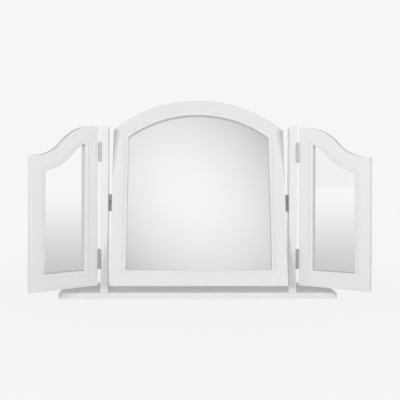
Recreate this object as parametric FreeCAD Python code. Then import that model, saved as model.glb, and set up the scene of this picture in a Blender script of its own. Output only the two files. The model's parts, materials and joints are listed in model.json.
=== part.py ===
import FreeCAD, Part
import math
import os

# Trifold vanity mirror: an arched swing mirror between two posts on a base board,
# with a swan-necked wing mirror hinged to the outside of each post.
#
# Frame: millimetres, +Z up, -Y towards the person who sits in front of it.
# The origin is on the table top, under the middle of the base board.

V = FreeCAD.Vector
ORIGIN = V(0, 0, 0)
X_DIR, Y_DIR, Z_DIR = V(1, 0, 0), V(0, 1, 0), V(0, 0, 1)

# ---- how it stands: the pose in which it is shown --------------------------------
rest_left_wing = 38.0        # degrees that each wing is folded forward from the posts' plane
rest_right_wing = 32.2       # degrees, in the same way
rest_tilt = 13.6             # degrees that the swing mirror leans back from upright

# ---- base board and pads ---------------------------------------------------------
pad_thickness = 1.0
pad_diameter = 18.0
pad_inset = 14.0             # pad centre in from each edge of the board
base_width = 698.0
base_depth = 170.0
base_thickness = 16.0
base_corner_radius = 12.0
base_edge_round = 5.0        # round-over of the board's upper edge
post_setback = 5.5           # from the board's front edge to the posts' front faces

# ---- posts -----------------------------------------------------------------------
post_clear_width = 453.0     # between the posts' inner faces
post_width = 19.0
post_depth = 32.0
post_height = 414.0
arris = 1.0                  # softened edges of the posts

# ---- boards that make the frames -------------------------------------------------
frame_thickness = 18.0
bead_width = 7.5             # round the opening, from the lip to the groove
bead_round = 5.0             # the part of the bead that falls off towards the lip
bead_fall = 1.8              # how far it falls back at the lip
quirk_width = 1.0            # the groove outside the bead
quirk_depth = 0.8
lip_depth = 11.0             # front face to the rebate that holds the glass
rebate_lap = 6.0             # rebate wall beyond the lip
glass_lap = 5.0              # how far the glass reaches behind the lip
glass_thickness = 3.0
panel_thickness = 3.0
dowel_diameter = 8.0
dowel_length = 30.0
point_width = 10.0           # glazing points: flat steel tabs, half of each in the wood
point_length = 11.0
point_thickness = 0.5
point_overlap = 5.0          # length of a point that lies over the panel
mirror_point_spacing = 110.0 # along the swing mirror's sides and bottom
wing_point_inset = 40.0      # from the ends of a wing's opening

# ---- swing mirror ----------------------------------------------------------------
swing_gap = 8.5              # stile to post, each side, filled by the pivot
pivot_setback = 13.0         # pivot axis behind the posts' front faces
mirror_below_pivot = 208.5
mirror_above_pivot = 268.5   # to the top of the arch
arch_rise = 79.5             # top of the arch above the frame's shoulders
stile_width = 38.4           # outer edge to lip
bottom_rail_width = 39.6
top_rail_width = 37.8
mirror_floor_gap = 14.5      # under the upright mirror, above the base board

# ---- wings -----------------------------------------------------------------------
wing_width = 181.0
wing_floor_gap = 17.5
wing_height = 395.5          # at the hinge stile
wing_drop = 75.0             # from the shoulder down to the outer stile
shoulder_flat = 13.0         # straight land at the hinge end of the top
neck_flat = 6.0              # straight land at the outer end of the top
shoulder_radius = 113.0      # convex part of the swan neck; the concave part follows
hinge_stile_width = 36.4
outer_stile_width = 37.0
wing_rail_width = 40.3       # bottom rail and swan-neck rail

# ---- butt hinges -----------------------------------------------------------------
hinge_height = 50.0
hinge_above_bottom = 41.5    # from the wing's lower edge to the lower hinge
hinge_below_top = 38.0       # from the wing's upper edge to the upper hinge
knuckle_diameter = 6.5
pin_diameter = 3.0
pin_forward = 3.0            # pin axis in front of the faces
leaf_thickness = 1.5         # let in flush, so a wing stands off its post by a knuckle less two leaves
leaf_width = 16.0            # pin axis to the leaf's far edge
middle_knuckle = 24.0        # height of the wing leaf's knuckle, between the post leaf's two
knuckle_play = 0.15          # end play between knuckles
knuckle_relief = 0.3         # round a knuckle, in the wood and in the other leaf
hinge_screw_spacing = 30.0
hinge_screw_back = 10.0      # pin axis to the screws
hinge_screw_length = 13.0
hinge_screw_head = 5.0
hinge_screw_shank = 2.6

# ---- swing pivots ----------------------------------------------------------------
pivot_plate_height = 42.0
pivot_plate_width = 13.0
pivot_plate_thickness = 3.5
pivot_stud_diameter = 6.0
pivot_stud_reach = 8.0       # into the stile
washer_diameter = 12.0
pivot_screw_spacing = 29.0
pivot_screw_length = 13.0
pivot_screw_head = 5.0
pivot_screw_shank = 2.6
running_clearance = 0.05     # radial, and at the washer's face

# ---- screws from under the base into the posts ------------------------------------
post_screw_spacing = 14.0
post_screw_length = 50.0
post_screw_head = 8.0
post_screw_shank = 4.0

# ---- places that follow ------------------------------------------------------------
base_top = pad_thickness + base_thickness
post_inner = post_clear_width / 2
post_outer = post_inner + post_width
face_y = post_setback - base_depth / 2      # front faces of the posts, and of a wing in their plane
post_middle_y = face_y + post_depth / 2
pivot_y = face_y + pivot_setback
moulding_width = bead_width + quirk_width
pivot_z = base_top + mirror_floor_gap + mirror_below_pivot
mirror_half = post_inner - swing_gap
arch_radius = (mirror_half ** 2 + arch_rise ** 2) / (2 * arch_rise)
arch_centre_z = mirror_above_pivot - arch_radius
wing_gap = knuckle_diameter - 2 * leaf_thickness
pin_x = post_outer + wing_gap / 2
pin_y = face_y - pin_forward
wing_edge = post_outer + wing_gap
wing_bottom = base_top + wing_floor_gap
wing_top = wing_bottom + wing_height
neck_run = wing_width - shoulder_flat - neck_flat
neck_radius = (neck_run ** 2 + wing_drop ** 2) / (2 * wing_drop) - shoulder_radius
shoulder_x = wing_edge + shoulder_flat
neck_x = wing_edge + wing_width - neck_flat
convex_z = wing_top - shoulder_radius
concave_z = wing_top - wing_drop + neck_radius
hinge_bottoms = {
    "lower": wing_bottom + hinge_above_bottom,
    "upper": wing_top - hinge_below_top - hinge_height,
}
SIDES = {"left": -1, "right": 1}
REST_WING = {"left": rest_left_wing, "right": rest_right_wing}


# ---- helpers -------------------------------------------------------------------------
def box(x0, x1, y0, y1, z0, z1):
    """A box between two corners."""
    return Part.makeBox(x1 - x0, y1 - y0, z1 - z0, V(x0, y0, z0))


def rod(diameter, start, end):
    """A round bar from one point to another."""
    return Part.makeCylinder(diameter / 2, (end - start).Length, start, end - start)


def wood_screw(head_point, direction, length, head, shank):
    """A countersunk screw whose head lies flush at head_point and that runs along direction."""
    sink = (head - shank) / 2
    tip = shank
    cone = Part.makeCone(head / 2, shank / 2, sink, head_point, direction)
    body_start = head_point + direction * sink
    body = Part.makeCylinder(shank / 2, length - sink - tip, body_start, direction)
    tip_start = head_point + direction * (length - tip)
    point = Part.makeCone(shank / 2, 0, tip, tip_start, direction)
    return cone.fuse([body, point]).removeSplitter()


def cut_all(shape, tools):
    """A shape with every tool cut out of it."""
    return shape.cut(Part.makeCompound(tools)) if tools else shape


def on_side(shape, side):
    """A shape that is drawn for the right-hand side, put on its side."""
    return shape if SIDES[side] > 0 else shape.mirror(ORIGIN, X_DIR)


def polyline(points):
    """The straight edges that join a list of points."""
    return [Part.makeLine(a, b) for a, b in zip(points, points[1:]) if (b - a).Length > 1e-6]


def prism(wire, depth):
    """A wire in an X-Z plane, filled and pushed back along +Y."""
    return Part.Face(wire).extrude(Y_DIR * depth)


def export(name, *shapes):
    """Write one node; several shapes make a group of separate solids."""
    solids = [solid for shape in shapes for solid in shape.Solids]
    node = solids[0] if len(solids) == 1 else Part.makeCompound(solids)
    node.exportStep("parts/" + name + ".step")
    volume = sum(solid.Volume for solid in solids)
    print(name, len(solids), "solid(s)", round(volume, 1), "mm3")


# ---- outlines of the frames ------------------------------------------------------------
def mirror_wire(side_inset, bottom_inset, top_inset, y):
    """The swing mirror's outline, each edge moved in by its own inset; the pivot is the origin."""
    half = mirror_half - side_inset
    low = bottom_inset - mirror_below_pivot
    radius = arch_radius - top_inset
    shoulder = arch_centre_z + math.sqrt(radius ** 2 - half ** 2)
    left_low, right_low = V(-half, y, low), V(half, y, low)
    left_top, right_top = V(-half, y, shoulder), V(half, y, shoulder)
    crown = V(0, y, arch_centre_z + radius)
    arch = Part.Arc(right_top, crown, left_top).toShape()
    return Part.Wire(polyline([left_top, left_low, right_low, right_top]) + [arch])


def on_arc(centre, radius, x, bulge):
    """The point of such an arc at x."""
    return V(x, centre.y, centre.z + bulge * math.sqrt(radius ** 2 - (x - centre.x) ** 2))


def arc_between(centre, radius, start, end, bulge):
    """An arc in an X-Z plane about centre from start to end, above (bulge 1) or below it."""
    middle = on_arc(centre, radius, (start.x + end.x) / 2, bulge)
    return Part.Arc(start, middle, end).toShape()


def wing_wire(hinge_inset, outer_inset, bottom_inset, top_inset, y):
    """The right wing's outline in the posts' plane, each edge moved in by its own inset.

    The top is a swan neck: a convex arc and a concave arc that meet in a tangent, with a short
    straight land at each end where the outline reaches that far.
    """
    inner_x = wing_edge + hinge_inset
    outer_x = wing_edge + wing_width - outer_inset
    low = wing_bottom + bottom_inset
    convex_centre, concave_centre = V(shoulder_x, y, convex_z), V(neck_x, y, concave_z)
    convex, concave = shoulder_radius - top_inset, neck_radius + top_inset
    to_concave = concave_centre - convex_centre
    bend = convex_centre + to_concave * (convex / to_concave.Length)
    arc_inner = on_arc(convex_centre, convex, max(inner_x, shoulder_x), 1)
    arc_outer = on_arc(concave_centre, concave, min(outer_x, neck_x), -1)
    bottom = [V(inner_x, y, low), V(outer_x, y, low)]
    corners = [V(inner_x, y, arc_inner.z)] + bottom + [V(outer_x, y, arc_outer.z)]
    edges = polyline([arc_inner] + corners + [arc_outer])
    edges.append(arc_between(concave_centre, concave, arc_outer, bend, -1))
    edges.append(arc_between(convex_centre, convex, bend, arc_inner, 1))
    return Part.Wire(edges)


def framed_board(wire_at, lip_insets, front):
    """A board with its glazed opening: a groove and a bead round it in front, a rebate behind.

    wire_at(insets..., y) gives the outline; lip_insets are the insets of the opening's lip, and
    front is the y of the board's front face.
    """
    def opening(wider, depth):
        return wire_at(*[inset - wider for inset in lip_insets], front + depth)

    board = prism(wire_at(*[0.0] * len(lip_insets), front), frame_thickness)
    sight = prism(opening(0, 0), frame_thickness)
    bead = prism(opening(bead_width, 0), quirk_depth)
    quirk = prism(opening(moulding_width, 0), quirk_depth).cut(bead)
    fall = Part.makeLoft([opening(bead_round, 0), opening(0, bead_fall)], True, True)
    rebate = prism(opening(rebate_lap, lip_depth), frame_thickness - lip_depth)
    return cut_all(board, [sight, quirk, fall, rebate])


def glazing(wire_at, lip_insets, front):
    """Glass and back panel, one behind the other in the rebate."""
    insets = [inset - glass_lap for inset in lip_insets]
    glass = prism(wire_at(*insets, front + lip_depth), glass_thickness)
    panel = prism(wire_at(*insets, front + lip_depth + glass_thickness), panel_thickness)
    return glass, panel


def glazing_point(edge_x, edge_z, out_x, out_z, front):
    """A flat tab over the panel's back; out_x, out_z is the direction from the panel into the wood."""
    y0 = front + lip_depth + glass_thickness + panel_thickness
    reach_in = point_overlap + rebate_lap - glass_lap
    reach_out = point_length - reach_in
    half = point_width / 2
    xs = sorted((edge_x - out_x * reach_in - out_z * half, edge_x + out_x * reach_out + out_z * half))
    zs = sorted((edge_z - out_z * reach_in - out_x * half, edge_z + out_z * reach_out + out_x * half))
    return box(xs[0], xs[1], y0, y0 + point_thickness, zs[0], zs[1])


def dowel_at(x, z, front):
    """A dowel along X across a joint of stile and rail, in the middle of the board."""
    y = front + frame_thickness / 2
    return rod(dowel_diameter, V(x - dowel_length / 2, y, z), V(x + dowel_length / 2, y, z))


# ---- base and posts --------------------------------------------------------------------
def base_and_posts():
    """The board, its pads, the posts and the screws that hold them, with the posts' hardware."""
    front, back = -base_depth / 2, base_depth / 2
    board = box(-base_width / 2, base_width / 2, front, back, pad_thickness, base_top)
    board = board.makeFillet(base_corner_radius, edges_along(board, Z_DIR))
    board = board.makeFillet(base_edge_round, edges_at_height(board, base_top))
    pad_x, pad_y = base_width / 2 - pad_inset, base_depth / 2 - pad_inset
    pad_spots = [(0, 0), (-pad_x, -pad_y), (pad_x, -pad_y), (pad_x, pad_y), (-pad_x, pad_y)]
    pads = [rod(pad_diameter, V(x, y, 0), V(x, y, pad_thickness)) for x, y in pad_spots]
    screw_ys = [post_middle_y - post_screw_spacing / 2, post_middle_y + post_screw_spacing / 2]
    middle_x = post_inner + post_width / 2
    heads = [V(sign * middle_x, y, pad_thickness) for sign in SIDES.values() for y in screw_ys]
    screws = [wood_screw(head, Z_DIR, post_screw_length, post_screw_head, post_screw_shank) for head in heads]
    export("base_board", cut_all(board, screws))
    export("base_pads", *pads)
    export("post_screws", *screws)

    plate, plate_screws, stud, washer = pivot_on_post()
    leaves, pins, leaf_screws, recesses = hinges_on_post()
    post = box(post_inner, post_outer, face_y, face_y + post_depth, base_top, base_top + post_height)
    post = post.makeFillet(arris, edges_along(post, Z_DIR) + edges_at_height(post, base_top + post_height))
    for side in SIDES:
        fittings = screws + [on_side(s, side) for s in plate_screws + leaf_screws + recesses + [stud]]
        export(side + "_post", cut_all(on_side(post, side), fittings))
        export(side + "_pivot_post_plate", on_side(plate, side))
        export(side + "_friction_washer", on_side(washer, side))
        for level, leaf in leaves.items():
            export(side + "_" + level + "_hinge_post_leaf", on_side(leaf, side))
    export("pivot_studs", *[on_side(stud, side) for side in SIDES])
    export("pivot_post_screws", *[on_side(s, side) for side in SIDES for s in plate_screws])
    export("hinge_pins", *[on_side(p, side) for side in SIDES for p in pins])
    export("hinge_post_screws", *[on_side(s, side) for side in SIDES for s in leaf_screws])


def edges_along(shape, direction):
    """A shape's straight edges that run along a direction."""
    return [e for e in shape.Edges if e.Curve.TypeId == "Part::GeomLine"
            and abs(abs(e.tangentAt(e.FirstParameter).dot(direction)) - 1) < 1e-6]


def edges_at_height(shape, z):
    """A shape's edges that lie in the horizontal plane at z."""
    return [e for e in shape.Edges if abs(e.BoundBox.ZMin - z) < 1e-6 and abs(e.BoundBox.ZMax - z) < 1e-6]


# ---- pivots of the swing mirror, drawn for the right-hand side ---------------------------
def pivot_plate(x, direction, centre):
    """A plate whose back lies at x, its two screws, which run along direction, and no hole yet."""
    outward = x - direction.x * pivot_plate_thickness
    half_width, half_height = pivot_plate_width / 2, pivot_plate_height / 2
    plate = box(min(x, outward), max(x, outward), centre.y - half_width, centre.y + half_width,
                centre.z - half_height, centre.z + half_height)
    screws = [
        wood_screw(V(outward, centre.y, centre.z + sign * pivot_screw_spacing / 2), direction,
                   pivot_screw_length, pivot_screw_head, pivot_screw_shank)
        for sign in (-1, 1)
    ]
    return cut_all(plate, screws), screws


def stud_between(diameter, inner_x, centre):
    """The pivot's bar at a given diameter, from the post's face to inner_x in the stile."""
    return rod(diameter, V(inner_x, centre.y, centre.z), V(post_inner, centre.y, centre.z))


def pivot_on_post():
    """Post plate, its screws, the stud riveted in it and the friction washer on the stud."""
    centre = V(0, pivot_y, pivot_z)
    plate, screws = pivot_plate(post_inner, X_DIR, centre)
    stud = stud_between(pivot_stud_diameter, mirror_half - pivot_stud_reach, centre)
    washer_start = mirror_half + pivot_plate_thickness + running_clearance
    washer_end = post_inner - pivot_plate_thickness
    washer = rod(washer_diameter, V(washer_start, centre.y, centre.z), V(washer_end, centre.y, centre.z))
    return plate.cut(stud), screws, stud, washer.cut(stud)


def pivot_on_stile():
    """Stile plate with its screws, drawn about the pivot, and the running bore for the stud."""
    plate, screws = pivot_plate(mirror_half, X_DIR * -1, ORIGIN)
    bore_end = mirror_half - pivot_stud_reach - running_clearance
    bore = stud_between(pivot_stud_diameter + 2 * running_clearance, bore_end, ORIGIN)
    return plate.cut(bore), screws, bore


# ---- butt hinges, drawn for the right-hand side with the wing in the posts' plane ----------
def knuckle(diameter, low, high):
    """A stretch of cylinder about the pin axis."""
    return rod(diameter, V(pin_x, pin_y, low), V(pin_x, pin_y, high))


def hinge_leaf(plate, own, others, bore):
    """A leaf: its plate and knuckles, clear of the other leaf's knuckles and bored for the pin."""
    clear = knuckle_diameter + 2 * knuckle_relief
    body = plate.fuse([knuckle(knuckle_diameter, low, high) for low, high in own])
    return cut_all(body.removeSplitter(), [knuckle(clear, low, high) for low, high in others] + [bore])


def hinge_bands(bottom):
    """Height bands of a hinge: the post leaf's two knuckles and the wing leaf's one."""
    low_join = bottom + (hinge_height - middle_knuckle) / 2
    high_join = low_join + middle_knuckle
    top = bottom + hinge_height
    post_bands = [(bottom, low_join), (high_join, top)]
    wing_bands = [(low_join + knuckle_play, high_join - knuckle_play)]
    return post_bands, wing_bands


def leaf_plate(wood_x, into_wood, bottom):
    """A leaf's flat part, let into the wood whose face is at wood_x; into_wood is 1 or -1 along X."""
    x0, x1 = sorted((wood_x, wood_x + into_wood * leaf_thickness))
    return box(x0, x1, pin_y, pin_y + leaf_width, bottom, bottom + hinge_height)


def hinge_recess(plate, bottom):
    """What a hinge takes out of the wood: the leaf's place, and room round the knuckles."""
    low, high = bottom - knuckle_play, bottom + hinge_height + knuckle_play
    return [plate, knuckle(knuckle_diameter + 2 * knuckle_relief, low, high)]


def leaf_screws_at(bottom, face_x, direction):
    """The two screws of a leaf whose exposed face lies at face_x."""
    middle = bottom + hinge_height / 2
    return [
        wood_screw(V(face_x, pin_y + hinge_screw_back, middle + sign * hinge_screw_spacing / 2), direction,
                   hinge_screw_length, hinge_screw_head, hinge_screw_shank)
        for sign in (-1, 1)
    ]


def hinges_on_post():
    """The post leaves, pins, screws and recesses of both hinges."""
    leaves, pins, screws, recesses = {}, [], [], []
    for level, bottom in hinge_bottoms.items():
        post_bands, wing_bands = hinge_bands(bottom)
        others = [(low - knuckle_play, high + knuckle_play) for low, high in wing_bands]
        plate = leaf_plate(post_outer, -1, bottom)
        pin = knuckle(pin_diameter, bottom, bottom + hinge_height)
        own_screws = leaf_screws_at(bottom, post_outer, X_DIR * -1)
        leaves[level] = cut_all(hinge_leaf(plate, post_bands, others, pin), own_screws)
        pins.append(pin)
        screws += own_screws
        recesses += hinge_recess(plate, bottom)
    return leaves, pins, screws, recesses


def hinges_on_wing():
    """The wing leaves, screws and recesses of both hinges."""
    leaves, screws, recesses = {}, [], []
    for level, bottom in hinge_bottoms.items():
        post_bands, wing_bands = hinge_bands(bottom)
        others = [(low - knuckle_play, high + knuckle_play) for low, high in post_bands]
        plate = leaf_plate(wing_edge, 1, bottom)
        bore = knuckle(pin_diameter + 2 * running_clearance, bottom, bottom + hinge_height)
        own_screws = leaf_screws_at(bottom, wing_edge, X_DIR)
        leaves[level] = cut_all(hinge_leaf(plate, wing_bands, others, bore), own_screws)
        screws += own_screws
        recesses += hinge_recess(plate, bottom)
    return leaves, screws, recesses


# ---- swing mirror --------------------------------------------------------------------------
MIRROR_LIP = (stile_width, bottom_rail_width, top_rail_width)
MIRROR_FRONT = -frame_thickness / 2
MIRROR_PLACE = FreeCAD.Placement(V(0, pivot_y, pivot_z), FreeCAD.Rotation(X_DIR, -rest_tilt))


def hang(shape):
    """A piece drawn about the pivot, put in its place and leaning back."""
    return shape.transformed(MIRROR_PLACE.toMatrix())


def arch_z(inset, x):
    """Height above the pivot of the arch at x, moved in by inset."""
    return arch_centre_z + math.sqrt((arch_radius - inset) ** 2 - x ** 2)


def swing_mirror():
    """Two stiles, a bottom rail and an arched top rail, glazed, with a pivot plate on each stile."""
    front = MIRROR_FRONT
    joint_x = mirror_half - stile_width
    tall = mirror_below_pivot + mirror_above_pivot
    board = framed_board(mirror_wire, MIRROR_LIP, front)
    glass, panel = glazing(mirror_wire, MIRROR_LIP, front)

    low_z = (bottom_rail_width - moulding_width) / 2 - mirror_below_pivot
    high_z = (arch_z(0, joint_x) + arch_z(top_rail_width - moulding_width, joint_x)) / 2
    dowels = [dowel_at(sign * joint_x, z, front) for sign in (-1, 1) for z in (low_z, high_z)]

    wall_x = joint_x + rebate_lap
    wall_low = bottom_rail_width - rebate_lap - mirror_below_pivot
    wall_high = mirror_above_pivot - top_rail_width + rebate_lap
    points = [glazing_point(sign * wall_x, z, sign, 0, front)
              for sign in (-1, 1) for z in (-mirror_point_spacing, 0, mirror_point_spacing)]
    points += [glazing_point(x, wall_low, 0, -1, front)
               for x in (-mirror_point_spacing, 0, mirror_point_spacing)]
    points.append(glazing_point(0, wall_high, 0, 1, front))

    plate, plate_screws, bore = pivot_on_stile()
    all_screws = [on_side(screw, side) for side in SIDES for screw in plate_screws]
    fittings = dowels + points + all_screws + [on_side(bore, side) for side in SIDES]
    board = cut_all(board, fittings)
    zones = {
        "mirror_left_stile": box(-mirror_half, -joint_x, -tall, tall, -tall, tall),
        "mirror_right_stile": box(joint_x, mirror_half, -tall, tall, -tall, tall),
        "mirror_bottom_rail": box(-joint_x, joint_x, -tall, tall, -tall, 0),
        "mirror_top_rail": box(-joint_x, joint_x, -tall, tall, 0, tall),
    }
    for name, zone in zones.items():
        export(name, hang(board.common(zone)))
    export("mirror_frame_dowels", *[hang(d) for d in dowels])
    export("mirror_glass", hang(glass))
    export("mirror_back_panel", hang(panel))
    export("mirror_glazing_points", *[hang(p) for p in points])
    for side in SIDES:
        export(side + "_pivot_stile_plate", hang(on_side(plate, side)))
    export("pivot_stile_screws", *[hang(s) for s in all_screws])


# ---- wings ---------------------------------------------------------------------------------
WING_LIP = (hinge_stile_width, outer_stile_width, wing_rail_width, wing_rail_width)


def fold(shape, side):
    """A piece of the right wing, drawn in the posts' plane, put on its side and folded forward."""
    sign = SIDES[side]
    return on_side(shape, side).rotated(V(sign * pin_x, pin_y, 0), Z_DIR, -sign * REST_WING[side])


def neck_z(inset, x):
    """Height of the swan neck at x near either end, moved in by inset."""
    if x < (shoulder_x + neck_x) / 2:
        return convex_z + math.sqrt((shoulder_radius - inset) ** 2 - (x - shoulder_x) ** 2)
    return concave_z - math.sqrt((neck_radius + inset) ** 2 - (x - neck_x) ** 2)


def wing(side):
    """One wing: two stiles, a bottom rail and a swan-neck rail, glazed, with its hinge leaves."""
    joint_inner = wing_edge + hinge_stile_width
    joint_outer = wing_edge + wing_width - outer_stile_width
    outer_edge = wing_edge + wing_width
    deep = wing_width
    middle_z = (wing_bottom + wing_top) / 2
    board = framed_board(wing_wire, WING_LIP, face_y)
    glass, panel = glazing(wing_wire, WING_LIP, face_y)

    low_z = wing_bottom + (wing_rail_width - moulding_width) / 2
    dowels = []
    for x in (joint_inner, joint_outer):
        high_z = (neck_z(0, x) + neck_z(wing_rail_width - moulding_width, x)) / 2
        dowels += [dowel_at(x, low_z, face_y), dowel_at(x, high_z, face_y)]

    wall_low = wing_bottom + wing_rail_width - rebate_lap
    first_z = wall_low + wing_point_inset
    last_z = wing_top - wing_drop - wing_rail_width - wing_point_inset
    points = [glazing_point(joint_inner - rebate_lap, z, -1, 0, face_y) for z in (first_z, last_z)]
    points += [glazing_point(joint_outer + rebate_lap, z, 1, 0, face_y) for z in (first_z, last_z)]
    points.append(glazing_point((joint_inner + joint_outer) / 2, wall_low, 0, -1, face_y))

    leaves, leaf_screws, recesses = hinges_on_wing()
    board = cut_all(board, dowels + points + leaf_screws + recesses)
    zones = {
        "hinge_stile": box(wing_edge, joint_inner, -deep, deep, 0, wing_top),
        "outer_stile": box(joint_outer, outer_edge, -deep, deep, 0, wing_top),
        "bottom_rail": box(joint_inner, joint_outer, -deep, deep, 0, middle_z),
        "swan_neck_rail": box(joint_inner, joint_outer, -deep, deep, middle_z, wing_top),
    }
    prefix = side + "_wing_"
    for name, zone in zones.items():
        export(prefix + name, fold(board.common(zone), side))
    export(prefix + "dowels", *[fold(d, side) for d in dowels])
    export(prefix + "glass", fold(glass, side))
    export(prefix + "back_panel", fold(panel, side))
    export(prefix + "glazing_points", *[fold(p, side) for p in points])
    for level, leaf in leaves.items():
        export(prefix + level + "_hinge_leaf", fold(leaf, side))
    export(prefix + "hinge_screws", *[fold(s, side) for s in leaf_screws])


def main():
    os.makedirs("parts", exist_ok=True)
    base_and_posts()
    swing_mirror()
    for side in SIDES:
        wing(side)


main()
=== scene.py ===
# %% [markdown]
# # A dressing-table mirror in three panels
# The object is a low base board with two posts. An arched mirror swings between the posts, and a
# swan-necked wing mirror is hinged to the outside of each post. All the wood is painted in a satin
# white. This lesson starts from the exact solids of the joinery, puts softer, painted frames round the
# glass, gives every piece its finish, and then sets up the light and the camera.

# %% Load the solid parts
import json
import math

import bmesh
import bpy
import numpy as np
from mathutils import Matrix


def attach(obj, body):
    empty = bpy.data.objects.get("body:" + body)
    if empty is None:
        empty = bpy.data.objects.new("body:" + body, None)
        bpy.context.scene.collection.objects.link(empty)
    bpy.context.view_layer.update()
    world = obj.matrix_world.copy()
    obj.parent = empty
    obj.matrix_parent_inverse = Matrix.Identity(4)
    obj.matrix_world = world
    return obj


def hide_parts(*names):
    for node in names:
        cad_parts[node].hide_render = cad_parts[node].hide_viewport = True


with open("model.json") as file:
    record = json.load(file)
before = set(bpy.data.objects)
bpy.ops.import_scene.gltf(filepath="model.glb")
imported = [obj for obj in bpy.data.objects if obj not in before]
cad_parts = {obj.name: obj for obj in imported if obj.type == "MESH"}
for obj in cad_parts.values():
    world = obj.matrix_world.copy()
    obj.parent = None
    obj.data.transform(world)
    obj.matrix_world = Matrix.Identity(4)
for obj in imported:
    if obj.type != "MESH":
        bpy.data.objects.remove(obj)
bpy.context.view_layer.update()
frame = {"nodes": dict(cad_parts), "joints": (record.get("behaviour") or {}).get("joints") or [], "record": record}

NODES = frame["nodes"]

# %% [markdown]
# ## The sizes
# The solids were drawn in millimetres, so the same sizes are used here, and each mesh is scaled to
# metres once, when it is made. Only the sizes of the pieces that are drawn again are needed: the three
# frames and their mirrors. The pivot and the hinge pins come from the joints of the model. A lip is the
# inner edge of a frame, and its size is how far it lies from the frame's outer edge.

# %% Sizes of the swing mirror and the wings, in millimetres
MM = 0.001
JOINT_AT = {joint["name"]: [value / MM for value in joint["pos_m"]] for joint in frame["joints"]}
_, PIVOT_Y, PIVOT_Z = JOINT_AT["mirror_tilt"]
PIN_X, PIN_Y, _ = JOINT_AT["right_wing_hinge"]

THICKNESS = 18.0                             # of all three frames
MIRROR_HALF = 218.0                          # half the width of the swing mirror
BELOW_PIVOT, ABOVE_PIVOT = 208.5, 268.5      # its bottom edge and its apex, from the pivot
ARCH_RISE = 79.5                             # its apex above its shoulders
MIRROR_LIPS = (38.4, 39.6, 37.8)             # at its sides, bottom and top
TILT = 13.6                                  # its lean back, in degrees

FACE_Y = -79.5                               # front of the posts, and of a wing before it is folded
WING_EDGE, WING_WIDTH = 249.0, 181.0         # a wing's hinge edge, from the middle, and its width
WING_LOW, WING_HIGH = 34.5, 430.0            # its bottom edge and its shoulder
WING_DROP = 75.0                             # from its shoulder down to its outer end
SHOULDER_FLAT, NECK_FLAT = 13.0, 6.0         # level ends of its swan neck, high and low
SHOULDER_RADIUS = 113.0                      # of the neck's convex arc
WING_LIPS = (36.4, 37.0, 40.3, 40.3)         # at its hinge edge, outer edge, bottom and top
WING_ANGLE = {"left": 38.0, "right": 32.2}   # its fold forward, in degrees
SIGN = {"left": -1, "right": 1}              # of x on each side
print("swing mirror", 2 * MIRROR_HALF, "x", BELOW_PIVOT + ABOVE_PIVOT, "mm; pivot at", PIVOT_Y, PIVOT_Z)

# %% [markdown]
# ## Frames as rings
# A picture-frame shape is one section carried round an outline. The section is a closed list of
# stations, and each station says how far it lies from the outer edge or from the lip of the glazed
# opening, and how deep it lies behind the front face. For each station the outline is worked out with
# those insets. The stations are the rows of a grid and the points of the outline are its columns, so
# the whole frame is a closed ring of quads, mitred at its corners, with no end to cap. Sweeping a
# curve object would be quicker, but its section could not be wider on one rail than on the next.

# %% Sizes of the moulding, in millimetres
LIP_DEPTH = 11.0                   # front face to the rebate that takes the glass
REBATE = 6.0                       # how far the rebate is cut back under the lip
BEAD = 7.5                         # width of the bead along the lip
ROUND, FALL = 5.0, 1.8             # width and depth of the bead's round towards the lip
ROUND_STEPS = 6
BEAD_EASE = 0.1                    # how far the bead falls on its other side
QUIRK, QUIRK_DEPTH = 1.2, 1.1      # the fine groove outside the bead, a little larger than the solids'
OUTER_SLOPE, INNER_SLOPE = 0.3, 0.2   # how far the groove's two walls lean in
MOULDING = BEAD + QUIRK
print("the moulding is", MOULDING, "mm wide and", LIP_DEPTH, "mm deep at the lip")


# %% The section of a frame, from the front arris round to it again
def ovolo(width, fall, steps):
    """Stations of the bead's round: at a share t of its width the depth is fall t^2."""
    share = np.arange(steps) / steps
    return [("lip", width * (1 - t), fall * t ** 2, 0.0) for t in share]


SECTION = [
    # measured from, distance, depth, softness of the edge
    ("outer", 0.0, 0.0, 1.0),
    ("lip", MOULDING, 0.0, 0.15),
    ("lip", MOULDING - OUTER_SLOPE, QUIRK_DEPTH, 0.0),
    ("lip", BEAD + INNER_SLOPE, QUIRK_DEPTH, 0.0),
    ("lip", BEAD, BEAD_EASE, 0.0),
    *ovolo(ROUND, FALL, ROUND_STEPS),
    ("lip", 0.0, FALL, 0.30),
    ("lip", 0.0, LIP_DEPTH, 0.10),
    ("lip", REBATE, LIP_DEPTH, 0.0),
    ("lip", REBATE, THICKNESS, 0.25),
    ("outer", 0.0, THICKNESS, 1.0),
]
print("stations in the section:", len(SECTION))

# %% [markdown]
# ## Two outlines
# The swing mirror is a rectangle whose top is one arc. A wing has level ends at its shoulder and at its
# outer end, and between them a swan neck of two arcs that meet smoothly. Both could be traced by hand
# as curves, but a formula stays true when an edge is moved in: each arc keeps its centre, and only its
# radius changes.

# %% The outline of the swing mirror
ARCH_RADIUS = (MIRROR_HALF ** 2 + ARCH_RISE ** 2) / (2 * ARCH_RISE)
ARCH_CENTRE = ABOVE_PIVOT - ARCH_RADIUS
ARCH_STEPS = 80


def mirror_outline(side, bottom, top, depth):
    """Outline about the pivot with its edges moved in: two lower corners, then an arc.

    The arc is x = r sin(a), z = c + r cos(a), with a running from the right shoulder to the left.
    """
    half, low, radius = MIRROR_HALF - side, bottom - BELOW_PIVOT, ARCH_RADIUS - top
    end = math.asin(half / radius)
    angle = np.linspace(end, -end, ARCH_STEPS + 1)
    arc = np.column_stack([radius * np.sin(angle), ARCH_CENTRE + radius * np.cos(angle)])
    flat = np.vstack([[[-half, low], [half, low]], arc])
    return np.insert(flat, 1, depth, axis=1)


print("radius of the arch:", round(ARCH_RADIUS, 1), "mm")

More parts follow.
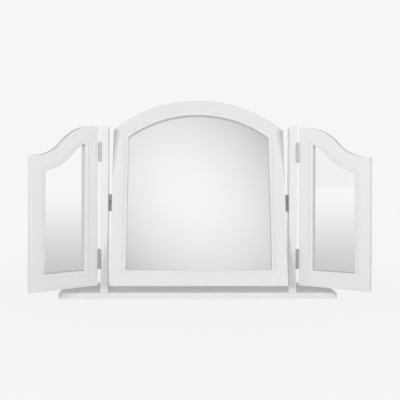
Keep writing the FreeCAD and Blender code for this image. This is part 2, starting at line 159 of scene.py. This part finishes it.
# %% The outline of a wing
NECK_STEPS = 72
LEAF_SHOWS = 0.1                   # the least that a wing's hinge edge is moved in
SHOULDER_X = WING_EDGE + SHOULDER_FLAT
NECK_X = WING_EDGE + WING_WIDTH - NECK_FLAT
NECK_RADIUS = ((NECK_X - SHOULDER_X) ** 2 + WING_DROP ** 2) / (2 * WING_DROP) - SHOULDER_RADIUS
CONVEX_Z, CONCAVE_Z = WING_HIGH - SHOULDER_RADIUS, WING_HIGH - WING_DROP + NECK_RADIUS


def swan_neck(x, inset):
    """Height of the neck at x: flat, a convex arc, a concave arc that meets it in a tangent, flat.

    Each arc is z = centre +- sqrt(r^2 - (x - centre)^2). Moving the edge in shortens the convex
    radius and lengthens the concave one, and the arcs meet on the line between their centres.
    """
    convex, concave = SHOULDER_RADIUS - inset, NECK_RADIUS + inset
    bend = SHOULDER_X + (NECK_X - SHOULDER_X) * convex / (SHOULDER_RADIUS + NECK_RADIUS)
    upper = CONVEX_Z + np.sqrt(np.maximum(convex ** 2 - np.maximum(x - SHOULDER_X, 0) ** 2, 0))
    lower = CONCAVE_Z - np.sqrt(np.maximum(concave ** 2 - np.minimum(x - NECK_X, 0) ** 2, 0))
    return np.where(x < bend, upper, lower)


def wing_outline(hinge, outer, bottom, top, depth):
    """Outline of the right wing in the posts' plane: two lower corners, then the neck.

    The neck is z = swan_neck(x, top), with x running from the outer edge to the hinge edge.
    """
    near = WING_EDGE + max(hinge, LEAF_SHOWS)
    far = WING_EDGE + WING_WIDTH - outer
    low = WING_LOW + bottom
    x = np.linspace(far, near, NECK_STEPS + 1)
    neck = np.column_stack([x, swan_neck(x, top)])
    flat = np.vstack([[[near, low], [far, low]], neck])
    return np.insert(flat, 1, FACE_Y + depth, axis=1)


print("radii of the swan neck:", SHOULDER_RADIUS, round(NECK_RADIUS, 1), "mm")


# %% [markdown]
# ## Grids into meshes
# The quads of a grid follow from its numbers of rows and columns alone, so one line of array maths
# makes them all. They have to face outwards. Blender can recalculate that, but the sign of the volume
# that the quads enclose says it directly, and a ring that comes out negative is turned round.

# %% Faces, volume and new pieces
def grid_faces(rows, cols):
    """The quads of a grid that closes on itself both ways: corner (r, c) is number r * cols + c."""
    r, c = np.meshgrid(np.arange(rows), np.arange(cols), indexing="ij")
    r2, c2 = (r + 1) % rows, (c + 1) % cols
    return np.stack([r * cols + c, r * cols + c2, r2 * cols + c2, r2 * cols + c], -1).reshape(-1, 4)


def enclosed(points, faces):
    """Volume inside closed quads, as the sum of a . (b x c) / 6 over their triangles."""
    a, b, c, d = (points[faces[:, k]] for k in range(4))
    halves = np.einsum("ij,ij->i", a, np.cross(b, c)) + np.einsum("ij,ij->i", a, np.cross(c, d))
    return halves.sum() / 6


def new_piece(name, points, faces, body, replaced):
    """A mesh in metres as a piece of the object, on its body, in place of its solids."""
    mesh = bpy.data.meshes.new(name)
    mesh.from_pydata((points * MM).tolist(), [], [list(map(int, face)) for face in faces])
    mesh.shade_smooth()
    piece = bpy.data.objects.new(name, mesh)
    bpy.context.scene.collection.objects.link(piece)
    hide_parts(*replaced)
    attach(piece, body)
    print(name, len(mesh.polygons), "faces")
    return piece


print("quads in a frame of the swing mirror:", len(grid_faces(len(SECTION), ARCH_STEPS + 3)))

# %% [markdown]
# ## Soft edges
# Paint rounds every edge of a board. A Bevel modifier does that, and a weight on each edge says how
# much: the outer arrises are rubbed down to a little over a millimetre, and the fine edges of the
# moulding keep one to four tenths. The weights come from the grid: an edge that runs along a row has
# the softness of its station, and the corners of the outer wall are as soft as its arrises. Edges
# without a weight stay sharp where they turn by more than an angle, so that the shading doesn't smear.

# %% Bevel weights from the grid
ARRIS = 1.3            # width of the softest edges, in millimetres
ARRIS_STEPS = 3
RING_SHARP = 24        # degrees between faces from which an edge is sharp


def soften(piece, rows, cols, corners):
    """Weights for the rows' edges and for the outer wall's corners, and the modifier that uses them."""
    mesh = piece.data
    ends = np.empty(2 * len(mesh.edges), dtype=int)
    mesh.edges.foreach_get("vertices", ends)
    row, col = ends.reshape(-1, 2) // cols, ends.reshape(-1, 2) % cols
    softness = np.array([station[3] for station in SECTION])
    along = row[:, 0] == row[:, 1]
    outer_wall = (row.min(1) == 0) & (row.max(1) == rows - 1) & np.isin(col[:, 0], corners)
    weight = np.where(along, softness[row[:, 0]], np.where(outer_wall, 1.0, 0.0))
    mesh.set_sharp_from_angle(angle=math.radians(RING_SHARP))
    sharp = np.empty(len(mesh.edges), dtype=bool)
    mesh.attributes["sharp_edge"].data.foreach_get("value", sharp)
    mesh.attributes["sharp_edge"].data.foreach_set("value", sharp & (weight == 0))
    mesh.attributes.new("bevel_weight_edge", "FLOAT", "EDGE").data.foreach_set("value", weight)
    bevel = piece.modifiers.new("arrises", "BEVEL")
    bevel.limit_method, bevel.width, bevel.segments = "WEIGHT", ARRIS * MM, ARRIS_STEPS
    bevel.harden_normals = True


print("edges soften by up to", ARRIS, "mm")


# %% A painted frame
def frame_ring(name, outline, lips, place, body, replaced):
    """The section's insets for each station give a ring, which gets its place and its soft edges."""
    stations = []
    for origin, distance, depth, _ in SECTION:
        insets = [distance] * len(lips) if origin == "outer" else [lip - distance for lip in lips]
        stations.append(outline(*insets, depth))
    grid = place(np.array(stations))
    rows, cols = grid.shape[:2]
    faces = grid_faces(rows, cols)
    points = grid.reshape(-1, 3)
    volume = enclosed(points, faces)
    if volume < 0:
        faces = faces[:, ::-1]
    print(name, "encloses", round(abs(volume) * MM), "cubic centimetres")
    piece = new_piece(name, points, faces, body, replaced)
    soften(piece, rows, cols, corners=[0, 1, 2, cols - 1])
    return piece


print("corners of an outline: its points 0, 1 and 2 and its last one")


# %% [markdown]
# ## Each frame in its place
# The swing mirror is drawn about its pivot and leans back. A wing is drawn in the plane of the posts,
# mirrored for the left-hand side, and then turned about its hinge pin. An object could be turned
# instead, but its mesh is: every object then stays at the origin, and a pattern in Object coordinates
# lies in the same frame on all of them. The hinge leaves are let in flush, so the hinge edge of the
# painted wing stands back by a tenth of a millimetre and the steel shows instead of flickering
# through the paint.

# %% Turning and placing
def turn(points, first, second, degrees):
    """Rotate two of the three coordinates: (p, q) becomes (p cos - q sin, p sin + q cos)."""
    angle = math.radians(degrees)
    turned = points.copy()
    p, q = points[..., first], points[..., second]
    turned[..., first] = p * math.cos(angle) - q * math.sin(angle)
    turned[..., second] = p * math.sin(angle) + q * math.cos(angle)
    return turned


def hang(points):
    """From the pivot's own axes to the swing mirror's place, leaning back."""
    return turn(points - [0, THICKNESS / 2, 0], 1, 2, -TILT) + [0, PIVOT_Y, PIVOT_Z]


def fold(side):
    """From the right wing in the posts' plane to the folded wing on a side."""
    pin = np.array([SIGN[side] * PIN_X, PIN_Y, 0])

    def place(points):
        return turn(points * [SIGN[side], 1, 1] - pin, 0, 1, -SIGN[side] * WING_ANGLE[side]) + pin

    return place


print("apex of the swing mirror:", hang(np.array([0, 0, ABOVE_PIVOT])).round(1), "mm")

# %% The three frames
MIRROR_MEMBERS = ("left_stile", "right_stile", "bottom_rail", "top_rail")
WING_MEMBERS = ("hinge_stile", "outer_stile", "bottom_rail", "swan_neck_rail")

# for each body: what its nodes' names start with, the frame's members, outline, lips and place
LEAVES = {"swing_mirror": ("mirror", MIRROR_MEMBERS, mirror_outline, MIRROR_LIPS, hang)}
for side in SIGN:
    LEAVES[f"{side}_wing"] = (f"{side}_wing", WING_MEMBERS, wing_outline, WING_LIPS, fold(side))

FRAMES = []
for body, (start, members, outline, lips, place) in LEAVES.items():
    replaced = [f"{start}_{member}" for member in members]
    FRAMES.append(frame_ring(f"{body}_frame", outline, lips, place, body, replaced))

# %% [markdown]
# ## Mirrors
# A mirror is silvered on the back of its glass. A clear pane over a reflecting sheet would be the
# literal way to make it, but it costs more light paths and gives almost the same picture. So each
# mirror here is one thin closed plate that reflects at its face. It reaches under the lip as the
# real glass does, and it lies a tenth of a millimetre off the rebate, so that the two don't flicker.

# %% Reflecting plates
GLASS_THICKNESS, GLASS_LAP = 3.0, 5.0
PLATE_GAP = 0.1        # between a plate's face and the rebate
PLATE_SHARP = 30       # degrees between faces from which an edge is sharp


def mirror_plate(name, outline, lips, place, body, replaced):
    """A thin closed plate behind the lip: two outlines, one face at each end and quads between."""
    insets = [lip - GLASS_LAP for lip in lips]
    depths = (LIP_DEPTH + PLATE_GAP, LIP_DEPTH + GLASS_THICKNESS)
    grid = place(np.array([outline(*insets, depth) for depth in depths]))
    count = grid.shape[1]
    wall = [[k, (k + 1) % count, count + (k + 1) % count, count + k] for k in range(count)]
    ends = [list(range(count)), [count + k for k in range(count)]]
    plate = new_piece(name, grid.reshape(-1, 3), wall + ends, body, replaced)
    shape = bmesh.new()
    shape.from_mesh(plate.data)
    bmesh.ops.recalc_face_normals(shape, faces=shape.faces)
    shape.to_mesh(plate.data)
    shape.free()
    plate.data.set_sharp_from_angle(angle=math.radians(PLATE_SHARP))
    return plate


MIRRORS = []
for body, (start, _, outline, lips, place) in LEAVES.items():
    MIRRORS.append(mirror_plate(f"{body}_plate", outline, lips, place, body, [f"{start}_glass"]))

# %% [markdown]
# ## A small language for finishes
# A finish is a tree of nodes. They could be made and linked one by one, but a sum of three textures
# would then take a dozen lines. To keep the maths readable, a socket is wrapped in a class that has
# Python's operators, so that 1 - mask adds a Math node. Any other node comes from one method, which
# takes the node's type, its settings and the values or links of its sockets.


# %% Sockets with operators
class Value:
    """A socket in a tree. An operator adds a Math node and gives back its result."""

    def __init__(self, finish, socket):
        self.finish, self.socket = finish, socket

    def maths(self, operation, first, second):
        """A Math node that works on two sockets or numbers."""
        return self.finish.node("Math", {"operation": operation}, {0: first, 1: second})

    def __add__(self, other):
        return self.maths("ADD", self, other)

    def __sub__(self, other):
        return self.maths("SUBTRACT", self, other)

    def __rsub__(self, other):
        return self.maths("SUBTRACT", other, self)

    def __mul__(self, other):
        return self.maths("MULTIPLY", self, other)

    __radd__, __rmul__ = __add__, __mul__


print("operators with a number on their left:", sorted(name for name in vars(Value) if name[:3] == "__r"))


# %% A tree of nodes
class Finish:
    """A tree of nodes under construction, for a material or for the world."""

    def __init__(self, owner):
        """Start with an empty tree."""
        owner.use_nodes = True
        self.owner, self.tree = owner, owner.node_tree
        self.tree.nodes.clear()

    def node(self, kind, settings=None, sockets=None, out=0):
        """Any node: its type, its settings first, then its sockets' values or links."""
        made = self.tree.nodes.new("ShaderNode" + kind)
        for key, value in (settings or {}).items():
            setattr(made, key, value)
        for key, value in (sockets or {}).items():
            if isinstance(value, Value):
                self.tree.links.new(value.socket, made.inputs[key])
            else:
                made.inputs[key].default_value = value
        return Value(self, made.outputs[out]) if made.outputs else None

    def part(self, vector, axis):
        """One of a vector's three parts, "X", "Y" or "Z"."""
        return self.node("SeparateXYZ", {}, {0: vector}, out=axis)

    def noise(self, scale, detail=2.0, stretch=(1, 1, 1)):
        """Soft noise from 0 to 1 in Object coordinates, with so many waves to the metre."""
        point = self.node("TexCoord", out="Object")
        place = self.node("Mapping", {}, {"Vector": point, "Scale": stretch})
        return self.node("TexNoise", {}, {"Vector": place, "Scale": scale, "Detail": detail})

    def fade(self, value, start, end, before, after):
        """A smooth step from before to after, while the value goes from start to end."""
        limits = {"Value": value, "From Min": start, "From Max": end, "To Min": before, "To Max": after}
        return self.node("MapRange", {"interpolation_type": "SMOOTHSTEP"}, limits)

    def mix(self, factor, first, second):
        """A colour between two colours."""
        sockets = {0: factor, 6: first, 7: second}
        return self.node("Mix", {"data_type": "RGBA"}, sockets, out=2)

    def bump(self, height, depth):
        """A normal from a height between 0 and 1, whose full depth is in millimetres."""
        return self.node("Bump", {}, {"Height": height, "Distance": depth * MM, "Strength": 1.0})

    def surface(self, **sockets):
        """The principled shader with these sockets, named with underscores for spaces."""
        named = {key.replace("_", " "): value for key, value in sockets.items()}
        shader = self.node("BsdfPrincipled", {}, named)
        self.node("OutputMaterial", {}, {"Surface": shader})
        print("finish:", self.owner.name)
        return self.owner


print("what a tree can make:", sorted(name for name in vars(Finish) if not name.startswith("_")))


# %% New finishes and colours
def new_finish(name):
    """An empty tree in a new material."""
    return Finish(bpy.data.materials.new(name))


def rgb(red, green, blue):
    """A colour with full alpha."""
    return (red, green, blue, 1.0)


print("full white:", rgb(1, 1, 1))


# %% [markdown]
# ## Satin white paint
# Sprayed satin paint on wood is almost flat. What gives it away is a soft, slightly uneven sheen, an
# orange-peel texture of a millimetre or so, and a faint drift between a lighter and a darker white.
# All three come from noise in Object coordinates, so the pattern stays with the piece as it turns.

# %% Paint
def satin_paint():
    """White that drifts a little, under a fine peel and an uneven sheen."""
    paint = new_finish("satin_white_paint")
    drift = paint.noise(7.0, detail=1.0)
    peel = paint.noise(650.0)
    sheen = paint.noise(38.0, detail=3.0)
    return paint.surface(
        Base_Color=paint.mix(drift, rgb(0.80, 0.80, 0.795), rgb(0.835, 0.835, 0.83)),
        Roughness=0.36 + sheen * 0.10,
        Normal=paint.bump(peel * 0.8 + sheen * 0.2, depth=0.05),
        Specular_IOR_Level=0.5,
    )


PAINT = satin_paint()


# %% [markdown]
# ## Mirror glass
# The silver lies behind three millimetres of float glass, and what the eye sees is a clean, very
# slightly green reflection. A metal surface with almost no roughness gives that. A trace of haze, as
# left by a cloth, keeps the reflection from looking computed.

# %% Mirror
def silvered_glass():
    """A metal that is nearly white, with a haze of almost no roughness."""
    glass = new_finish("silvered_glass")
    haze = glass.noise(16.0, detail=3.0)
    return glass.surface(
        Base_Color=glass.mix(haze, rgb(0.912, 0.914, 0.906), rgb(0.930, 0.931, 0.922)),
        Metallic=1.0,
        Roughness=haze * 0.012,
    )


MIRROR = silvered_glass()

# %% [markdown]
# ## Steel, board, felt and the rest
# The hinges and pivots are pressed steel with a satin plating: brushing is noise drawn out along one
# axis. The backs are thin fibreboard with a pale, matt face. The pads are felt, the washers nylon and
# the dowels bare beech, so each has its own small texture. Image textures would need files and would
# show seams at the edges, and noise has neither.

# %% Metals
# painted shade of the fittings near the base: full below the first height, gone above the second
SHADE_FULL_BELOW, SHADE_GONE_ABOVE = 0.12, 0.20      # heights in metres


def plated_steel(name, dark, light, roughness, stretch, lower=1.0):
    """Brushed plate. Fittings near the base get a painted shade: their colour is darker, by the factor lower, in
    place of the darker reflection that they show.
    """
    steel = new_finish(name)
    brushed = steel.noise(420.0, detail=4.0, stretch=stretch)
    worn = steel.noise(90.0, detail=3.0)
    height = steel.part(steel.node("TexCoord", out="Object"), "Z")
    # painted shade: the colour grows darker towards the base and stands in for the darker reflection of low
    # fittings
    painted_low_shade = steel.fade(height, SHADE_FULL_BELOW, SHADE_GONE_ABOVE, lower, 1.0)
    return steel.surface(
        Base_Color=steel.mix((worn * 0.6 + brushed * 0.4) * painted_low_shade, rgb(*dark), rgb(*light)),
        Metallic=1.0,
        Roughness=roughness + brushed * 0.12 + worn * 0.08,
        Normal=steel.bump(brushed, depth=0.03),
    )


# the lower hinges get the painted shade of low fittings
HINGE_STEEL = plated_steel("hinge_nickel", (0.50, 0.49, 0.48), (0.98, 0.97, 0.95), 0.24, (6, 6, 0.4),
                           lower=0.35)
PIVOT_STEEL = plated_steel("pivot_steel", (0.36, 0.355, 0.35), (0.54, 0.53, 0.52), 0.34, (1, 6, 0.5))
SCREW_STEEL = plated_steel("screw_zinc", (0.50, 0.50, 0.49), (0.66, 0.66, 0.65), 0.28, (3, 3, 3))


# %% Board and beech
def fibreboard():
    """Pale board with upright fibres and a slow cloud of shade."""
    board = new_finish("fibreboard_face")
    fibres = board.noise(300.0, detail=5.0, stretch=(1, 1, 0.35))
    cloud = board.noise(9.0)
    return board.surface(
        Base_Color=board.mix(fibres * 0.5 + cloud * 0.5, rgb(0.60, 0.585, 0.555), rgb(0.70, 0.69, 0.665)),
        Roughness=0.72 + fibres * 0.1,
        Normal=board.bump(fibres, depth=0.08),
    )


def beech():
    """Bare wood with its grain drawn out sideways, about as the dowels lie."""
    wood = new_finish("bare_beech")
    rings = wood.noise(180.0, detail=4.0, stretch=(0.15, 1, 1))
    return wood.surface(
        Base_Color=wood.mix(rings, rgb(0.50, 0.33, 0.18), rgb(0.64, 0.46, 0.28)),
        Roughness=0.6 + rings * 0.15,
        Normal=wood.bump(rings, depth=0.1),
    )


BOARD, BEECH = fibreboard(), beech()


# %% Felt and nylon
def felt():
    """Grey pads with a fine, deep nap."""
    pad = new_finish("felt")
    fibres = pad.noise(1400.0, detail=6.0)
    return pad.surface(
        Base_Color=pad.mix(fibres, rgb(0.50, 0.50, 0.48), rgb(0.66, 0.66, 0.64)),
        Roughness=0.95,
        Normal=pad.bump(fibres, depth=0.3),
    )


def nylon():
    """Near-black washers with a fine grain."""
    washer = new_finish("washer_nylon")
    grain = washer.noise(800.0)
    return washer.surface(
        Base_Color=washer.mix(grain, rgb(0.055, 0.055, 0.057), rgb(0.085, 0.085, 0.087)),
        Roughness=0.45 + grain * 0.1,
        Normal=washer.bump(grain, depth=0.04),
    )


FELT, NYLON = felt(), nylon()

# %% [markdown]
# ## Every piece in its finish
# Each solid names a slot, such as hinge_steel, and a table says which finish fills it. Materials could
# be given piece by piece, but with a table no solid is forgotten, and two pieces of one slot match.

# %% Every piece gets the finish of its slot
FINISH_OF_SLOT = {
    "white_paint": PAINT,
    "mirror_glass": MIRROR,
    "back_panel": BOARD,
    "bare_wood": BEECH,
    "hinge_steel": HINGE_STEEL,
    "pivot_steel": PIVOT_STEEL,
    "screw_steel": SCREW_STEEL,
    "point_steel": SCREW_STEEL,
    "washer_nylon": NYLON,
    "felt": FELT,
}
SLOT_OF_NODE = {part["node"]: part["material_slot"] for part in frame["record"]["subparts"]}


def dress(thing, material):
    """Give a piece this material and no other."""
    thing.data.materials.clear()
    thing.data.materials.append(material)


for node, thing in NODES.items():
    dress(thing, FINISH_OF_SLOT[SLOT_OF_NODE[node]])
for ring in FRAMES:
    dress(ring, PAINT)
for plate in MIRRORS:
    dress(plate, MIRROR)
print("dressed:", len(NODES) + len(FRAMES) + len(MIRRORS), "pieces")

# %% [markdown]
# ## The studio
# The object stands on a pale floor in a white studio. The floor and the far surroundings are white to
# the camera. A mirror shows the rest of the room, so the room matters more here than for other
# things: near the mirror its floor glows a soft grey that grows lighter with distance, a painted shade
# of the floor round the object, the walls are bright near the horizon, and a broad soft panel above
# the camera glows in the swing mirror. A ray knows what sent it out, so one floor and one world can
# look different to the camera, to a mirror and to the paint, with no walls or cards to build.

# %% The floor
WHITE = 0.922                              # floor and room as the camera sees them
FLOOR_HALF = 14.0                          # metres from the middle to each edge
FLOOR_GREY = 0.70                          # what the lamps light
# painted shade: in a mirror the floor glows darker near the object, standing in for the shade round it
NEAR_PAINTED_SHADE, NEAR_REACH = 0.45, 2.0        # how much darker in a mirror, and over how many metres
LEAST_WHITE = 0.95                         # share of plain white that the camera sees near the object
PLAIN_FROM, PLAIN_RATE = 0.35, 1.3         # metres out from which it rises to 1, and how fast


def studio_floor():
    """A plane that lights and reflects as a room's floor does and that the camera sees nearly white.

    At a distance d from the middle a mirror sees a glow of 1 - s exp(-d / NEAR_REACH), where s is
    the share of painted shade near the object. The camera sees plain white with a small share of the lit
    floor, which carries the object's shadow.
    """
    corners = [(x * FLOOR_HALF, y * FLOOR_HALF, 0) for x, y in ((-1, -1), (1, -1), (1, 1), (-1, 1))]
    mesh = bpy.data.meshes.new("studio_floor")
    mesh.from_pydata(corners, [], [(0, 1, 2, 3)])
    floor = bpy.data.objects.new("studio_floor", mesh)
    bpy.context.scene.collection.objects.link(floor)
    look = new_finish("floor")
    point = look.node("TexCoord", out="Object")
    distance = look.node("VectorMath", {"operation": "LENGTH"}, {0: point}, out="Value")
    # painted shade of the floor near the object, as the mirrors see it
    nearness = look.node("Math", {"operation": "EXPONENT"}, {0: distance * (-1 / NEAR_REACH)})
    shaded_floor_level = 1.0 - nearness * NEAR_PAINTED_SHADE
    grey = look.node("CombineColor", {}, {0: shaded_floor_level, 1: shaded_floor_level, 2: shaded_floor_level})
    room = look.node("Emission", {}, {"Color": grey, "Strength": 1.0})
    lit = look.node("BsdfDiffuse", {}, {"Color": rgb(FLOOR_GREY, FLOOR_GREY, FLOOR_GREY)})
    white = look.node("Emission", {}, {"Color": rgb(WHITE, WHITE, WHITE), "Strength": 1.0})
    clamped = {"operation": "MULTIPLY", "use_clamp": True}
    plain = look.node("Math", clamped, {0: distance - PLAIN_FROM, 1: PLAIN_RATE})
    share = plain * (1 - LEAST_WHITE) + LEAST_WHITE
    seen = look.node("MixShader", {}, {0: share, 1: lit, 2: white})
    other = look.node("MixShader", {}, {0: look.node("LightPath", out="Is Glossy Ray"), 1: lit, 2: room})
    camera_ray = look.node("LightPath", out="Is Camera Ray")
    both = look.node("MixShader", {}, {0: camera_ray, 1: other, 2: seen})
    look.node("OutputMaterial", {}, {"Surface": both})
    dress(floor, look.owner)
    print("floor:", 2 * FLOOR_HALF, "m square")


studio_floor()

# %% The light of the room
GLOW_ALONG = (0.707, -0.296, -0.642)       # the glow is longer along this direction ...
GLOW_ACROSS = (0.707, 0.318, 0.631)        # ... than along this one
GLOW_LIGHT, FALL_ALONG, FALL_ACROSS = 0.99, 12.0, 20.8

# smooth steps of light: while one part of the ray's direction goes from the first number to the
# second, the light goes from the third to the fourth
OVERHEAD_IN_MIRROR = (0.06, 0.28, 1.0, 0.55)       # upward part
LEFT_IN_MIRROR = (-0.8, -0.4, 0.95, 1.0)           # sideways part
FRONT_TO_BACK = (-0.2, 0.5, 0.18, 0.28)            # backward part
LEFT_WALL = (-0.55, -1.0, 0.0, 1.15)               # sideways part
RIGHT_WALL = (0.60, 1.0, 0.0, 1.05)                # sideways part
OVERHEAD = (0.25, 0.85, 1.0, 0.62)                 # upward part
BACK_WALL = (0.0, 0.6, 0.0, 1.9)                   # backward part
LOW_DOWN = (0.08, 0.34, 1.0, 0.0)                  # upward part
print("in a mirror the room is", OVERHEAD_IN_MIRROR[3], "overhead; on paint", FRONT_TO_BACK[2], "in front")


# %% The room around
def studio_world():
    """What a ray sees that leaves the model: white for the camera, and the room for the rest.

    In the mirrors and the steel the room is dimmer overhead, rises to 1 near the horizon, and has a
    soft panel in front. With u and v, the direction's parts along and across it, the panel's light is
    GLOW_LIGHT - FALL_ALONG u^2 - FALL_ACROSS v^2. As light on the paint the room is dim in front,
    where the soft lights stand, and overhead. It is bright at its side walls, so that the walls of the
    lips don't go grey, and low down behind, which lights the backs without washing out the shadow
    under the mirror.
    """
    world = bpy.data.worlds.new("studio")
    bpy.context.scene.world = world
    look = Finish(world)
    direction = look.node("TexCoord", out="Generated")
    sideways, backward, height = (look.part(direction, axis) for axis in "XYZ")

    dot = {"operation": "DOT_PRODUCT"}
    along = look.node("VectorMath", dot, {0: direction, 1: GLOW_ALONG}, out="Value")
    across = look.node("VectorMath", dot, {0: direction, 1: GLOW_ACROSS}, out="Value")
    glow = GLOW_LIGHT - along * along * FALL_ALONG - across * across * FALL_ACROSS
    overhead = look.fade(height, *OVERHEAD_IN_MIRROR)
    brighter = look.node("Math", {"operation": "MAXIMUM"}, {0: overhead, 1: glow})
    mirrored = brighter * look.fade(sideways, *LEFT_IN_MIRROR)

    around = look.fade(backward, *FRONT_TO_BACK)
    walls = around + look.fade(sideways, *LEFT_WALL) + look.fade(sideways, *RIGHT_WALL)
    behind = look.fade(backward, *BACK_WALL) * look.fade(height, *LOW_DOWN)
    light = walls * look.fade(height, *OVERHEAD) + behind

    glossy_ray = look.node("LightPath", out="Is Glossy Ray")
    level = mirrored * glossy_ray + light * (1.0 - glossy_ray)
    grey = look.node("CombineColor", {}, {0: level, 1: level, 2: level})
    camera_ray = look.node("LightPath", out="Is Camera Ray")
    seen = look.mix(camera_ray, grey, rgb(WHITE, WHITE, WHITE))
    sky = look.node("Background", {}, {"Color": seen, "Strength": 1.0})
    look.node("OutputWorld", {}, {"Surface": sky})
    print("room:", len(look.tree.nodes), "nodes")


studio_world()

# %% [markdown]
# ## Lights
# Two square soft panels stand left and right of the camera. Each post hides one of them from the
# leaning frame behind it, which gives the frame's upper corners their soft wedge of shadow. One lamp
# over the camera would light the fronts as well, but would leave those corners flat.

# %% Soft lights
PANEL_SIZE = 0.6                           # metres
MIDDLE = (0, -0.07, 0.26)                  # of the object, to which the panels are turned
PANELS = {
    # place in metres, and power in watts
    "left_softbox": ((-1.15, -2.10, 0.62), 22.8),
    "right_softbox": ((1.20, -2.10, 0.62), 19.7),
}


def soft_panel(name, place, watts):
    """A square area light turned to the middle, that mirrors and steel don't show as a shape.

    With (x, y, z) from the light to the middle it is tipped by atan2(|(x, y)|, -z) and then
    turned by atan2(-x, y).
    """
    lamp = bpy.data.lights.new(name, "AREA")
    lamp.shape, lamp.size, lamp.energy = "SQUARE", PANEL_SIZE, watts
    stand = bpy.data.objects.new(name, lamp)
    stand.location = place
    x, y, z = (there - here for there, here in zip(MIDDLE, place))
    stand.rotation_euler = (math.atan2(math.hypot(x, y), -z), 0, math.atan2(-x, y))
    stand.visible_glossy = False
    bpy.context.scene.collection.objects.link(stand)
    print(name, watts, "W at", round(math.hypot(x, y, z), 2), "m")


for name, (place, watts) in PANELS.items():
    soft_panel(name, place, watts)

# %% [markdown]
# ## The camera
# The camera looks level from a little above the middle of the mirror. Its lens is moved down inside
# the camera, as on a technical camera, so that the posts stay upright in the picture. Pointing the
# camera down instead would make them lean together.

# %% Camera
EYE = (-0.0559, -1.8289, 0.3107)           # metres
UPRIGHT, ROLL, HEADING = 90, -0.261, -1.898   # degrees
LENS, SENSOR = 63.0, 36.0                  # millimetres
LENS_SHIFT = -0.0627                       # share of the picture's width

sight = bpy.data.cameras.new("camera")
sight.lens, sight.sensor_width, sight.shift_y = LENS, SENSOR, LENS_SHIFT
camera = bpy.data.objects.new("camera", sight)
camera.location = EYE
camera.rotation_euler = [math.radians(angle) for angle in (UPRIGHT, ROLL, HEADING)]
bpy.context.scene.collection.objects.link(camera)
bpy.context.scene.camera = camera
bpy.context.scene.view_settings.view_transform = "Standard"
print("field of view:", round(math.degrees(sight.angle), 1), "degrees")

# %% [markdown]
# ## Size
# New frames and plates must not make the object larger than its solids.
